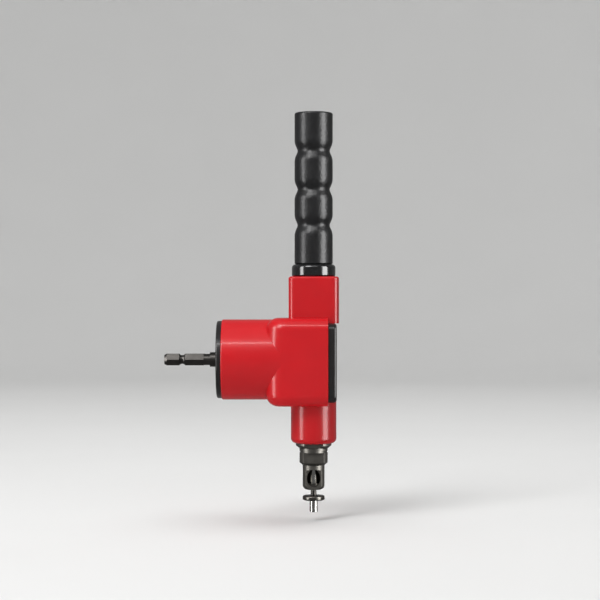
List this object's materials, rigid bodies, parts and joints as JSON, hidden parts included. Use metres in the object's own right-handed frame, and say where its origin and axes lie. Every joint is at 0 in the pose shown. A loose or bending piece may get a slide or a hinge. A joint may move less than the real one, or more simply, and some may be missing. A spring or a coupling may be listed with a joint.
{
  "type": "nibbler tool",
  "caption": "Drill-driven sheet metal nibbler: hex shank, round drum into a square crankcase, black end cover, tall ribbed grip, and a swivelling punch and die at the foot.",
  "frame": {"origin": "centre of the free end face of the hex drive shank, which is where a drill's chuck takes hold", "axes": "+X along the drive axis from the shank into the tool, +Z along the punch axis towards the handle, +Y from the front face to the back face"},
  "size_m": [0.0957, 0.044, 0.2194],
  "materials": {
    "red_paint": "gloss",
    "black_paint": "satin",
    "gasket": "matte",
    "black_screws": "satin",
    "seal_rubber": "matte",
    "bearing_steel": "polished",
    "cage_brass": "satin",
    "spring_steel": "satin",
    "black_oxide": "satin",
    "bronze": "satin",
    "machined_steel": "machined",
    "tool_steel": "polished",
    "die_steel": "satin",
    "gloss_black": "gloss",
    "grip_rubber": "satin"
  },
  "bodies": {
    "housing": {"body_casting": "red_paint", "end_cover": "black_paint", "cover_gasket": "gasket", "cover_screws": "black_screws", "rear_cap": "black_paint", "cap_screws": "black_screws", "shaft_seal": "seal_rubber", "rear_bearing_outer_ring": "bearing_steel", "front_bearing_outer_ring": "bearing_steel", "bearing_clip": "spring_steel", "guide_pin": "machined_steel", "plunger_bush": "bronze", "plunger_seal": "seal_rubber"},
    "crank": {"crankshaft": "black_oxide", "rear_bearing_inner_ring": "bearing_steel", "front_bearing_inner_ring": "bearing_steel", "shaft_clip": "spring_steel"},
    "rear_ball_set": {"rear_bearing_balls": "bearing_steel", "rear_bearing_cage": "cage_brass"},
    "front_ball_set": {"front_bearing_balls": "bearing_steel", "front_bearing_cage": "cage_brass"},
    "slide_block": {"slide_block": "bronze"},
    "thrust_button": {"thrust_button": "bronze"},
    "ram": {"yoke": "machined_steel", "yoke_pin": "machined_steel", "plunger": "machined_steel", "punch": "tool_steel"},
    "lock_nut": {"lock_nut": "black_oxide"},
    "die_head": {"die_holder": "black_oxide", "die_set_screw": "black_screws", "die": "die_steel"},
    "handle_stud": {"handle_stud": "machined_steel"},
    "handle": {"handle_core": "gloss_black", "grip_sleeve": "grip_rubber"}
  },
  "joints": [
    {"name": "input_spin", "type": "hinge", "parent": "housing", "child": "crank", "pos_m": [0, 0, 0], "axis": [1, 0, 0], "continuous": true},
    {"name": "rear_ball_orbit", "type": "hinge", "parent": "housing", "child": "rear_ball_set", "pos_m": [0.0361, 0, 0], "axis": [1, 0, 0], "continuous": true},
    {"name": "front_ball_orbit", "type": "hinge", "parent": "housing", "child": "front_ball_set", "pos_m": [0.06, 0, 0], "axis": [1, 0, 0], "continuous": true},
    {"name": "block_level", "type": "hinge", "parent": "crank", "child": "slide_block", "pos_m": [0.082, 0, 0.00225], "axis": [1, 0, 0], "continuous": true},
    {"name": "button_roll", "type": "hinge", "parent": "crank", "child": "thrust_button", "pos_m": [0.082, 0, 0.00112], "axis": [1, 0, 0], "continuous": true},
    {"name": "ram_level", "type": "hinge", "parent": "thrust_button", "child": "ram", "pos_m": [0.082, 0, 0.00225], "axis": [1, 0, 0], "continuous": true},
    {"name": "lock_nut_turn", "type": "hinge", "parent": "housing", "child": "lock_nut", "pos_m": [0.082, 0, -0.047], "axis": [0, 0, 1], "range_deg": [0, 45]},
    {"name": "die_head_swivel", "type": "hinge", "parent": "housing", "child": "die_head", "pos_m": [0.082, 0, -0.06], "axis": [0, 0, 1], "range_deg": [-180, 180]},
    {"name": "stud_rise", "type": "slide", "parent": "housing", "child": "handle_stud", "axis": [0, 0, 1], "range_m": [0, 0.0121]},
    {"name": "handle_unscrew", "type": "hinge", "parent": "handle_stud", "child": "handle", "pos_m": [0.082, 0, 0.09], "axis": [0, 0, 1], "range_deg": [0, 2880]}
  ],
  "couplings": [
    {"joint": "rear_ball_orbit", "follows": "input_spin", "ratio": 0.36767},
    {"joint": "front_ball_orbit", "follows": "input_spin", "ratio": 0.381},
    {"joint": "block_level", "follows": "input_spin", "ratio": -1},
    {"joint": "button_roll", "follows": "input_spin", "ratio": -2},
    {"joint": "ram_level", "follows": "input_spin", "ratio": 1},
    {"joint": "stud_rise", "follows": "handle_unscrew", "m_per_rad": 0.00023873}
  ]
}
